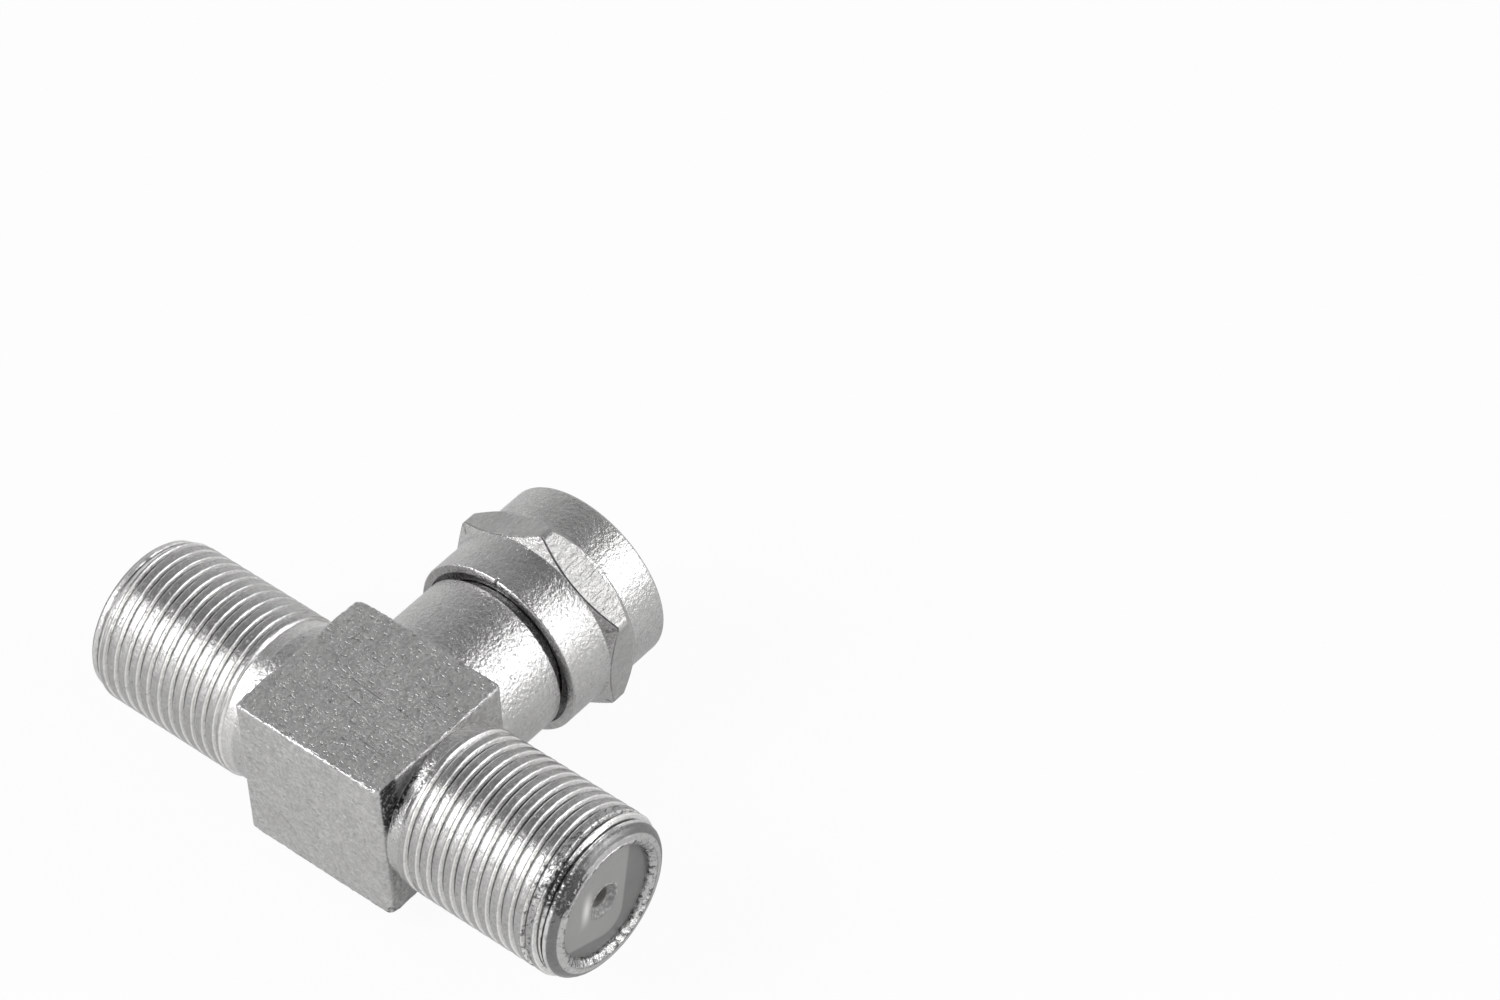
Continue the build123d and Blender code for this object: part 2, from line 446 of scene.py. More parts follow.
def thread_tree():
    """A right-hand thread along +X, from a grid whose rows follow the helix and stop at both ends."""
    tree = bpy.data.node_groups.new("screw_thread", "GeometryNodeTree")
    for name, kind in THREAD_SIZES.items():
        tree.interface.new_socket(name, in_out="INPUT", socket_type="NodeSocket" + kind)
    tree.interface.new_socket("Mesh", in_out="OUTPUT", socket_type="NodeSocketGeometry")
    bench = Bench(tree)
    given = dict(zip(THREAD_SIZES, bench.outputs(bench.add("NodeGroupInput"))))
    maths = bench.maths

    rows = given["Turns"] * given["Rows per turn"]
    columns = given["Columns"]
    grid = bench.add("GeometryNodeMeshGrid", None, {
        "Size X": rows - 1, "Size Y": columns, "Vertices X": rows, "Vertices Y": columns + 1,
    })
    across, around, _ = bench.parts(bench.add("GeometryNodeInputPosition"))
    row = maths("ROUND", across + (rows - 1) / 2)
    column = maths("ROUND", around + columns / 2)

    # a hundredth of a row keeps the first row of a turn from being counted to the turn before
    turn = maths("FLOOR", (row + 0.01) / given["Rows per turn"])
    share = row / given["Rows per turn"] - turn
    side = maths("SIGN", share - 0.5)
    off_crest = maths("ABSOLUTE", share - 0.5) * 2
    angle = column / columns * (2 * math.pi)
    cosine = maths("COSINE", angle)
    sine = maths("SINE", angle)
    pitch = given["Pitch"]
    crest_place = given["Start"] + pitch * (turn - 1 + column / columns)

    spot = bench.vector(crest_place, given["Crest radius"] * cosine, given["Crest radius"] * sine)
    patchy = bench.noise(spot, 0.5, 2.0, 0.6, given["Seed"])
    nicked = bench.noise(spot, 2.6, 2.0, 0.5, given["Seed"] + 3)
    off_centre = 1 + crest_side_change * maths("COSINE", angle - given["Widest side"])
    in_patch = bench.ramp(patchy, 0.3, 0.7, 1 - crest_patch_change, 1 + crest_patch_change, smooth=False)
    flat = given["Crest flat"] * off_centre * in_patch
    # one flank is steeper than the other, and its crest edge is less worn
    lean = 1 + side * (2 * given["Front share"] - 1)
    flank = (pitch - flat - given["Root flat"]) / 2 * lean

    def step(number):
        """Grows from 0 to 1 over one of the six steps from the middle of a crest to the root."""
        return bench.ramp(off_crest, (number - 1) / 6, number / 6, smooth=False)

    # a crest is hollow up to its rim, then it bends down to the flank in three steps
    rim = 0.02
    rim_fall, upper_fall, lower_fall = 0.06, 0.26, 0.68
    upper_bend, lower_bend = 0.54, 0.46
    bend = given["Crest round"] * lean
    fall = given["Round depth"]
    out = (flat / 2 - rim) * step(1) + step(2) * rim
    out = out + bend * upper_bend * step(3) + bend * lower_bend * step(4)
    out = out + (flank - bend) * step(5) + given["Root flat"] / 2 * step(6)
    drop = flat * given["Crest hollow"] * (1 - step(1))
    drop = drop + fall * rim_fall * step(2) + fall * upper_fall * step(3) + fall * lower_fall * step(4)
    drop = drop + (given["Depth"] - fall) * step(5)
    drop = drop + (nicked - 0.5) * crest_nick_depth * (1 - step(3))

    # the blank rises to the crests at the start, the nose cuts them off, and the end dives into the body
    start = given["Start"]
    end = given["End"]
    rise_length = 0.12
    dive_length = 0.06
    along = maths("MINIMUM", maths("MAXIMUM", crest_place + side * out, start), end)
    risen = bench.ramp(along, start, start + rise_length, smooth=False)
    blank = given["Start radius"] + (given["Crest radius"] - given["Start radius"]) * risen
    radius = blank - drop * bench.ramp(along, start + 0.02, start + given["Runout"])
    nose = given["Crest radius"] - (along - given["Nose start"]) * given["Nose slope"]
    radius = maths("MINIMUM", radius, nose)
    dive = bench.ramp(along, end - dive_length, end - 0.001, smooth=False)
    radius = radius * (1 - dive) + given["End radius"] * dive

    place = bench.vector(along, radius * cosine, radius * sine)
    wound = bench.add("GeometryNodeSetPosition", None, {"Geometry": grid, "Position": place})
    weld_gap = 0.0004
    welded = bench.add("GeometryNodeMergeByDistance", None, {"Geometry": wound, "Distance": weld_gap})
    real = bench.add("GeometryNodeRealizeInstances", None, {"Geometry": welded})
    done = bench.add("GeometryNodeSetMaterial", None, {"Geometry": real})
    bench.add("NodeGroupOutput", None, {0: done})
    return tree


def wound_thread(tree, sizes, turn_to_place):
    """A threaded sleeve with closed ends, turned to its place. It is a tool for combine."""
    holder = bpy.data.objects.new("thread", bpy.data.meshes.new("thread"))
    bpy.context.scene.collection.objects.link(holder)
    change = holder.modifiers.new("thread", "NODES")
    change.node_group = tree
    for socket in tree.interface.items_tree:
        if socket.in_out == "INPUT":
            change[socket.identifier] = sizes[socket.name]
    ready = holder.evaluated_get(bpy.context.evaluated_depsgraph_get())
    mesh = bpy.data.meshes.new_from_object(ready)
    mesh.materials.clear()
    holder.modifiers.clear()
    holder.data = mesh
    work = bmesh.new()
    work.from_mesh(mesh)
    bmesh.ops.holes_fill(work, edges=work.edges, sides=0)
    bmesh.ops.recalc_face_normals(work, faces=work.faces)
    work.to_mesh(mesh)
    work.free()
    mesh.transform(Matrix.Translation(crossing) @ turn_to_place @ Matrix.Scale(MM, 4))
    return holder


# Body: block, two threaded ports and the barrel

def block_outline():
    """Points round the block's sides with their inward normals, about evenly spaced."""
    corners = []
    for number, size in enumerate(block_corner_rounds.values()):
        across = 1 if number in (0, 3) else -1
        along = 1 if number < 2 else -1
        centre = Vector((across * (block_side - size), along * (block_face - size)))
        corners.append((centre, size, number * 90))
    outline = []
    for number, (centre, size, first) in enumerate(corners):
        for step in range(block_corner_steps + 1):
            angle = math.radians(first + step * 90 / block_corner_steps)
            normal = Vector((math.cos(angle), math.sin(angle)))
            outline.append((centre + normal * size, -normal))
        next_centre, next_size, _ = corners[(number + 1) % 4]
        begin = centre + normal * size
        end = next_centre + normal * next_size
        count = int((end - begin).length / block_point_gap)
        for step in range(1, count):
            outline.append((begin.lerp(end, step / count), -normal))
    return outline


def edge_wear(x, y, z):
    """Width of the worn edge at a point: uneven, and more at the corners."""
    wear = edge_wear_width * (1 + 0.9 * rough_at(x, y, z, 1.6) + 1.1 * rough_at(x, y, z, 0.4, 5.0))
    wear += edge_wear_width * 0.5 * rough_at(x, y, z, 0.16, 3.0)
    if z < 0:
        wear *= bottom_wear_share
    off_corner = min(abs(abs(x) - block_side), 1) + min(abs(abs(y) - block_face), 1)
    at_corner = corner_wear * max(0, 1 - off_corner / corner_wear_reach)
    return max(least_edge_wear, min(wear + at_corner, most_edge_wear))


def cast_block():
    """The block, its upright corners rounded and its top and bottom edges worn."""
    outline = block_outline()
    flat_start = 0.25
    upright_start = 0.4
    rings = []
    for side in (-1, 1):
        ring_set = [[(p + n * flat_start, side * block_top) for p, n in outline]]
        for level in range(block_wear_steps + 1):
            turn = math.pi / 2 * level / block_wear_steps
            inwards = 1 - math.sin(turn)
            down = 1 - math.cos(turn)
            ring = []
            for p, n in outline:
                wear = edge_wear(p.x, p.y, side * block_top)
                ring.append((p + n * wear * inwards, side * (block_top - wear * down)))
            ring_set.append(ring)
        ring_set.append([(p, side * (block_top - upright_start)) for p, n in outline])
        rings += ring_set if side < 0 else ring_set[::-1]
    count = len(outline)
    points = [(p.x, p.y, z) for ring in rings for p, z in ring]
    faces = []
    for level in range(len(rings) - 1):
        for i in range(count):
            after = (i + 1) % count
            faces.append((
                level * count + i,
                level * count + after,
                (level + 1) * count + after,
                (level + 1) * count + i,
            ))
    faces.append(tuple(range(count)))
    faces.append(tuple(range((len(rings) - 1) * count, len(rings) * count)))
    return solid(points, faces)


def barrel_solid():
    """Plug barrel, its thin end rim, and the stub with the ring's groove."""
    return turned([
        (join_start, 0),
        (join_start, barrel_radius),
        (barrel_end - 0.5, barrel_radius),
        *quarter(barrel_end, barrel_radius, barrel_bevel),
        (barrel_end, stub_radius),
        (stub_groove_rear, stub_radius),
        (stub_groove_rear, stub_groove_radius),
        (stub_groove_front, stub_groove_radius),
        (stub_groove_front, stub_radius),
        (plug_face - stub_bevel, stub_radius),
        (plug_face, stub_radius - stub_bevel),
        (plug_face, 0),
    ], port_columns, about_y)


def port_core(port):
    """Neck, core and rolled nose of a port, without its thread."""
    reach = port["reach"]
    neck_end = port["neck"]
    nose_radius = port["nose"]
    nose_start = reach - nose_length + nose_bevel_length

    def rolled(along, radius, angle):
        """The rolled end is a little uneven round its edge, and its burr is crinkled."""
        if along < nose_start:
            return along, radius
        near_end = min((along - nose_start) / (reach - nose_start), 1)
        x, y, z = about_x(along, radius, angle)
        wave = rough_at(x, y, z, 1.7, 9.0) * 0.03 + rough_at(x, y, z, 0.5, 4.0) * 0.012
        crinkle = rough_at(x, y, z, 0.33, 6.0) + 0.8 * rough_at(x, y, z, 0.17, 2.0)
        near_burr = max(0, 1 - abs(along - nose_start - burr_place) / burr_half_width)
        radius += wave * near_end * 0.6 + crinkle * near_burr * burr_height
        along += (min(wave, 0) if along >= reach else 0) + crinkle * near_burr * burr_sway
        return along, radius

    return turned([
        (join_start, 0),
        (join_start, neck_radius),
        (neck_end + 0.06, neck_radius),
        (neck_end + 0.06, core_radius),
        (nose_start - 0.04, core_radius),
        (nose_start - 0.04, nose_radius - crease_depth - 0.03),
        (nose_start + 0.02, nose_radius - crease_depth),
        (nose_start + 0.08, nose_radius - crease_depth * 0.6),
        (nose_start + burr_place, nose_radius + burr_height * 0.5),
        (nose_start + 0.16, nose_radius),
        *quarter(reach, nose_radius, port["round"], nose_radius - lip_radius - lip_inner_bevel + 0.1),
        (reach, lip_radius + lip_inner_bevel - 0.2),
        (reach, 0),
    ], port_columns, about_x, rolled)


def port_space(reach):
    """Space inside a port: tunnel, bore, insulator seat and the lip's rough opening."""
    face = reach - lip_depth
    seat = face - insulator_length

    def torn(along, radius, angle):
        """The lip's inner edge is rough from rolling."""
        if along < face or radius < lip_radius:
            return along, radius
        x, y, z = about_x(along, radius, angle)
        return along, radius + rough_at(x, y, z, 0.5, 2.0) * 0.04 + rough_at(x, y, z, 0.2, 7.0) * 0.05

    bevel = []
    for i in range(bevel_steps + 1):
        widening = lip_inner_bevel * (1 - math.cos(i * math.pi / (2 * bevel_steps)))
        bevel.append((reach - lip_inner_bevel * (1 - i / bevel_steps), lip_radius + widening))
    tunnel_start = 0.2
    return turned([
        (tunnel_start, 0),
        (tunnel_start, tunnel_radius),
        (port_floor, tunnel_radius),
        (port_floor, bore_radius),
        (seat, bore_radius),
        (seat, seat_radius),
        (face, seat_radius),
        (face, lip_radius),
        *bevel,
        (reach + 1, lip_radius + lip_inner_bevel),
        (reach + 1, 0),
    ], port_columns, about_x, torn)


def barrel_space():
    """Tunnel and insulator bore on the plug side."""
    floor = plug_face - plug_bore_depth
    tunnel_start = -1.8
    return turned([
        (tunnel_start, 0),
        (tunnel_start, tunnel_radius),
        (floor, tunnel_radius),
        (floor, plug_bore_radius),
        (plug_face + 1, plug_bore_radius),
        (plug_face + 1, 0),
    ], hidden_columns, about_y)


def port_thread_sizes(port):
    """Sizes of one port's thread, which runs from its neck to its nose."""
    start = port["neck"]
    nose_start = port["reach"] - nose_length
    return {
        "Start": start,
        "End": nose_start + nose_bevel_length + 0.05,
        "Pitch": thread_pitch,
        "Start radius": neck_radius + 0.01,
        "Crest radius": crest_radius,
        "Depth": thread_depth,
        "Crest flat": port["crest flat"],
        "Widest side": math.radians(port["widest side"]),
        "Crest hollow": crest_hollow,
        "Root flat": root_flat,
        "Front share": port["front share"],
        "Crest round": crest_round,
        "Round depth": crest_round_depth,
        "Runout": thread_runout,
        "Nose start": nose_start,
        "Nose slope": (crest_radius - port["nose"]) / nose_bevel_length,
        "End radius": core_radius - 0.1,
        "Turns": int((nose_start + nose_bevel_length - start) / thread_pitch) + spare_turns,
        "Rows per turn": thread_rows,
        "Columns": port_columns,
        "Seed": port["seed"],
    }


def adapter_body(tree):
    """The cast body as one closed solid."""
    ports = (
        {**right_port, "reach": right_reach, "side": Matrix.Identity(4)},
        {**left_port, "reach": left_reach, "side": Matrix.Rotation(math.pi, 4, "Z")},
    )
    cast = cast_block()
    combine(cast, barrel_solid(), "UNION")
    for port in ports:
        turn = Matrix.Translation(crossing) @ port["side"] @ Matrix.Translation(-crossing)
        core = port_core(port)
        core.data.transform(turn)
        combine(cast, core, "UNION")
        combine(cast, wound_thread(tree, port_thread_sizes(port), port["side"]), "UNION")
    combine(cast, barrel_space(), "DIFFERENCE")
    for port in ports:
        turn = Matrix.Translation(crossing) @ port["side"] @ Matrix.Translation(-crossing)
        space = port_space(port["reach"])
        space.data.transform(turn)
        combine(cast, space, "DIFFERENCE")
    body = piece("adapter_body", finished(cast), "body")
    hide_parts("body")
    return body


# Coupling nut

def smaller(first, second, round_size):
    """The smaller of two lengths, blended where they are nearly equal."""
    gap = max(round_size - abs(first - second), 0) / round_size
    return min(first, second) - gap * gap * round_size / 4


def nut_surface(along, radius, angle):
    """Raises the six flats out of the turned collar, with a chamfer at both ends."""
    if radius < collar_radius - 0.01 or not hex_rear - 0.001 < along < hex_front + 0.001:
        return along, radius
    off_flat = (angle - hex_turn + math.pi / 6) % (math.pi / 3) - math.pi / 6
    flat = hex_across_flats / 2 / math.cos(off_flat)
    rear_rise = (along - hex_rear) / math.tan(hex_rear_chamfer_angle)
    front_rise = (hex_front - along) / math.tan(hex_front_chamfer_angle)
    cone = hex_cone_start + min(rear_rise, front_rise)
    # the lowest corner touches the floor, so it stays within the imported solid
    corner = hex_corner_radius if math.cos(angle) > -0.9 else hex_lowest_corner_radius
    hexagon = smaller(smaller(flat, cone, hex_edge_round), corner, hex_edge_round)
    return along, max(hexagon, radius)


def coupling_nut(tree):
    """The nut: thin rear skirt, six flats, round front, the ring's groove and its thread."""
    rows = int((hex_front - hex_rear) / hex_row_gap)
    middle = (hex_rear + hex_front) / 2
    band = []
    for i in range(rows + 1):
        along = hex_rear + (hex_front - hex_rear) * i / rows
        band.append((along, collar_radius if along < middle else nut_front_radius))
    rim = [
        (nut_rear + collar_bevel - (along - nut_rear), radius)
        for along, radius in quarter(nut_rear + collar_bevel, collar_radius, collar_bevel)
    ]
    nut = turned([
        (nut_rear, recess_radius),
        *rim[::-1],
        (nut_rear + 0.4, collar_radius),
        (hex_rear - 0.2, collar_radius),
        *band,
        (hex_front + 0.2, nut_front_radius),
        (nut_front - 0.6, nut_front_radius),
        *quarter(nut_front, nut_front_radius, nut_front_bevel),
        (nut_front, nut_thread_radius + nut_mouth_bevel),
        (nut_front - nut_mouth_bevel, nut_thread_radius),
        (nut_thread_rear, nut_thread_radius),
        (nut_thread_rear, relief_radius),
        (web_front, relief_radius),
        (web_front, web_radius),
        (nut_groove_front, web_radius),
        (nut_groove_front, nut_groove_radius),
        (nut_groove_rear, nut_groove_radius),
        (nut_groove_rear, web_radius),
        (nut_rear + recess_depth, web_radius),
        (nut_rear + recess_depth, recess_radius),
    ], nut_columns, about_y, nut_surface)
    tap_core_radius = nut_thread_radius - 0.3
    tap_sizes = {
        "Start": web_front + 0.15,
        "End": nut_front + 0.6,
        "Pitch": thread_pitch,
        "Start radius": tap_core_radius,
        "Crest radius": crest_radius + 0.02,
        "Depth": 0.46,
        "Crest flat": 0.12,
        "Widest side": 0.0,
        "Crest hollow": 0.0,
        "Root flat": 0.14,
        "Front share": 0.5,
        "Crest round": 0.03,
        "Round depth": 0.03,
        "Runout": 0.2,
        "Nose start": nut_front + 1,
        "Nose slope": 1.0,
        "End radius": tap_core_radius,
        "Turns": int((nut_front - web_front) / thread_pitch) + spare_turns,
        "Rows per turn": thread_rows,
        "Columns": tap_columns,
        "Seed": 8.4,
    }
    to_plug = Matrix.Rotation(math.pi / 2, 4, "Z")
    combine(nut, wound_thread(tree, tap_sizes, to_plug), "DIFFERENCE")
    nut = piece("hexagon_nut", finished(nut), "nut")
    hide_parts("coupling_nut")
    return nut


# Materials

def surface_places(bench):
    """Object coordinates in millimetres from the crossing of the axes: the vector and its parts."""
    raw = bench.add("ShaderNodeTexCoord", output="Object")
    moved = bench.add("ShaderNodeVectorMath", {"operation": "SUBTRACT"}, {0: raw, 1: tuple(crossing)})
    place = bench.add("ShaderNodeVectorMath", {"operation": "SCALE"}, {0: moved, "Scale": 1 / MM})
    return place, bench.parts(place)


def new_material(name):
    """An empty material, and the bench that builds its nodes."""
    material = bpy.data.materials.new(name)
    material.use_nodes = True
    material.node_tree.nodes.clear()
    return material, Bench(material.node_tree)


def finish_shader(bench, fixed, varying):
    """The surface shader: fixed numbers on its own sockets, varying ones linked."""
    shader = bench.add("ShaderNodeBsdfPrincipled", None, {**fixed, **varying})
    bench.add("ShaderNodeOutputMaterial", None, {"Surface": shader})


def pitted(bench, place, scale, size):
    """Sparse small round pits: 1 inside a pit."""
    near = bench.cells(place, scale)
    chosen = bench.parts(bench.cells(place, scale, output="Color"))[0]
    return bench.ramp(near, size, size * 0.45) * bench.ramp(chosen, 0.6, 0.7)


def specks(bench, place, scale, rarity, seed):
    """Irregular specks: 1 inside one. The higher the rarity, the fewer there are."""
    return bench.ramp(bench.noise(place, scale, 3.0, 0.65, seed), rarity, rarity + 0.05)


nickel_white = (1.0, 0.995, 0.985, 1.0)
plastic_white = (1.0, 0.995, 0.98, 1.0)


def plate_grain(bench, place, cloud_scale, seeds):
    """Noise of a plated surface, from broad to fine: cloud, mottle, peel and fine grain."""
    kinds = ((cloud_scale, 3.0, 0.55), (2.4, 4.0, 0.7), (4.6, 3.0, 0.6), (10.0, 2.0, 0.6))
    return [bench.noise(place, *kind, seed) for kind, seed in zip(kinds, seeds)]


def nickel_colour(bench, tone, dark, darkest):
    """Nickel of a tone from 0 to 1, darkened by its marks and by painted shade, but by no more than the
    darkest share.
    """
    tone = tone * (1 - bench.maths("MINIMUM", dark, darkest))
    return bench.mix_colour(tone, grey(0.0), nickel_white)


def body_nickel():
    """Worn bright nickel over a cast and turned body."""
    material, bench = new_material("body_nickel")
    place, (x, y, z) = surface_places(bench)
    reach = bench.maths("ABSOLUTE", x)
    from_port_axis = bench.maths("SQRT", y * y + z * z)
    round_port = bench.maths("ARCTAN2", 0.0 - y, z)
    cloud, mottle, peel, fine = plate_grain(bench, place, 0.45, (2.0, 5.0, 3.0, 1.0))
    sway = mottle - 0.5

    # regions: each is 1 inside and 0 outside
    thread_start = right_port["neck"]
    nose_start = right_reach - nose_length
    outside_core = bench.ramp(from_port_axis, core_radius - 0.02, core_radius + 0.08)
    on_port = bench.ramp(reach, block_side + 0.02, block_side + 0.1)
    on_neck = bench.band(reach, block_side + 0.06, block_side + 0.9, 0.05)
    on_thread = bench.ramp(reach, thread_start + 0.05, thread_start + 0.25) * outside_core
    on_barrel = bench.ramp(y, block_face, block_face + 0.15) * (1 - on_port)
    on_block = (1 - on_port) * (1 - on_barrel)
    on_top = on_block * bench.ramp(z, block_top - 0.18, block_top - 0.04)
    on_side = on_block * (1 - on_top)
    on_right_face = bench.ramp(x, block_side - 0.1, block_side - 0.02) * on_block
    on_crest = on_thread * bench.ramp(from_port_axis, crest_radius - 0.05, crest_radius - 0.025)
    on_flank = on_thread * (1 - on_crest)
    # the crests' rounded edges, lightened below as a painted highlight
    crest_edge_highlight = on_thread * bench.band(from_port_axis, crest_radius - 0.11, crest_radius - 0.025, 0.012)
    # the thread's roots, darkened below as painted shade
    root_shade = on_thread * bench.ramp(from_port_axis, root_radius + 0.05, root_radius + 0.015)

    # cast skin of the block: short marks drawn out along x, pits, and long scratches on its top
    dashes = bench.noise(bench.vector(x * 2.4, y * 9, z * 9), 1.0, 2.0, 0.5, 3.0)
    dents = bench.ramp(dashes, 0.64, 0.74) * on_block
    raised = bench.ramp(dashes, 0.33, 0.25) * on_block
    short_pits = bench.noise(bench.vector(x * 2.2, y * 5, z * 5), 1.0, 2.0, 0.6, 11.0)
    pits = bench.ramp(short_pits, 0.52, 0.72) * on_block
    scratch_place = bench.vector(x * 0.3 + y * 0.05, y * 10 + x * 0.7, z * 10)
    scratches = bench.ramp(bench.noise(scratch_place, 1.0, 3.0, 0.6, 6.0), 0.57, 0.64) * on_top
    scratches = scratches * bench.band(y, -2.6, 2.2, 0.8) * bench.band(x, -1.5, 4.2, 0.8)
    dark_specks = specks(bench, place, 4.0, 0.64, 8.0)
    worn_specks = specks(bench, place, 3.2, 0.585, 4.0)
    glints = specks(bench, place, 6.5, 0.52, 12.0)

    # tool marks of the thread
    turning = bench.vector(x * 24, from_port_axis * 20, bench.maths("ARCTAN2", z, y) * 1.6)
    striations = bench.noise(turning, 1.0, 3.0, 0.65, 4.0)
    torn = bench.noise(bench.vector(x * 10, y * 10, z * 10), 1.0, 3.0, 0.7, 9.0)

    # dark patches: a speckled one on the near port's nose, and painted shade on the block's corner beside
    # that port and round the foot of its neck and thread
    on_right_nose = bench.ramp(x + sway * 1.2, nose_start - 0.2, nose_start)
    on_right_nose = on_right_nose * bench.ramp(from_port_axis, 3.7, 3.9)
    nose_dark_patch = on_right_nose * bench.band(round_port + sway * 0.9, 0.4, 0.93, 0.14)
    corner_painted_shade = on_right_face * bench.ramp(y + sway * 1.2, -3.2, -3.6) * bench.ramp(z, 1.2, 2.2)
    neck_foot = bench.band(x + sway * 0.5, block_side - 0.1, block_side + 0.3, 0.06) * on_port
    thread_foot = bench.band(x, thread_start + 0.06, thread_start + 0.3, 0.04)
    neck_painted_shade = (neck_foot + thread_foot * 0.7) * bench.band(round_port + sway * 0.5, 0.4, 1.0, 0.1)
    dark_patch_and_shade = (nose_dark_patch + corner_painted_shade + neck_painted_shade) * (1 - glints)

    # a nick in the block's lowest corner, on the near port's side
    from_nick = bench.vector(x - block_side, y + block_face, z + block_top - 0.2)
    from_nick = bench.add("ShaderNodeVectorMath", {"operation": "LENGTH"}, {0: from_nick}, "Value")
    nick = bench.band(from_nick + sway * 0.6, 0.24, 0.34, 0.04)

    # the lip's inner edge is crinkled, the threads' last turn is rough, and cracked on the near port
    in_front = bench.ramp(reach, nose_start - 0.2, nose_start - 0.1)
    on_lip_edge = in_front * bench.band(from_port_axis, 3.25, 3.7, 0.04)
    crinkle = bench.noise(bench.vector(reach * 3, from_port_axis * 2, round_port * 13), 1.0, 3.0, 0.7, 2.0)
    lip_folds = bench.ramp(crinkle, 0.5, 0.62) * on_lip_edge
    on_last_turn = bench.band(reach, nose_start - 0.45, nose_start - 0.1, 0.08)
    on_last_turn = on_last_turn * bench.ramp(from_port_axis, 4.2, 4.3)
    cracks = bench.maths("ABSOLUTE", bench.noise(place, 1.7, 3.0, 0.6, 14.0) - 0.5)
    cracks = bench.ramp(cracks, 0.035, 0.012) * bench.ramp(mottle, 0.44, 0.5)
    cracks = cracks * bench.band(x, nose_start - 0.9, nose_start - 0.15, 0.1)

    dark = dark_specks * (0.45 - on_side * 0.15) + worn_specks * on_top * 0.3 + dents * 0.3 + scratches * 0.6
    dark = dark + root_shade * 0.7 + dark_patch_and_shade * 0.9 + nick * 0.45 + lip_folds * 0.7
    dark = dark + pits * (0.14 + on_top * 0.24) + cracks * 0.7
    tone = 0.62 + (cloud - 0.5) * 0.12 + sway * (0.16 + on_block * 0.3) + raised * 0.12
    # painted light on the thread: crests a little darker, flanks lighter, and the crests' rounded edges
    # lighter as painted highlights
    tone = tone - on_crest * 0.1 + on_flank * 0.2 + crest_edge_highlight * 0.15 + on_block * 0.02
    # painted shade: the block's right face is darker towards its front, standing in for the shadowed floor
    # it reflects
    tone = tone - on_right_face * bench.ramp(y, -2.0, 2.0, 0.24, 0.1)
    tone = tone + (peel - 0.5) * (0.35 + on_block * 0.2) + (fine - 0.5) * 0.3
    roughness = 0.24 + (cloud - 0.4) * 0.1 + sway * 0.14 + on_block * 0.1 - on_thread * 0.06
    roughness = roughness + dark_specks * 0.15

    # relief in millimetres
    peel_height = 0.04 + (on_barrel + on_neck) * 0.035 + on_block * 0.05 - on_thread * 0.02
    relief = peel * peel_height + fine * 0.01 - dark_specks * 0.012 - worn_specks * 0.01
    relief = relief - dents * 0.02 + raised * 0.016 - scratches * 0.012
    relief = relief - pits * (0.01 + on_top * 0.014) - cracks * 0.03 + glints * 0.025 * on_last_turn
    relief = relief + (striations - 0.5) * 0.022 * on_thread + (torn - 0.5) * 0.02 * on_flank
    relief = relief + crinkle * on_lip_edge * 0.1
    relief = relief + (mottle * 0.05 + glints * 0.02) * (nose_dark_patch + corner_painted_shade)
    finish_shader(bench, {"Metallic": 1.0}, {
        "Base Color": nickel_colour(bench, tone, dark, 0.88),
        "Roughness": roughness,
        "Normal": bench.bump(relief),
    })
    return material


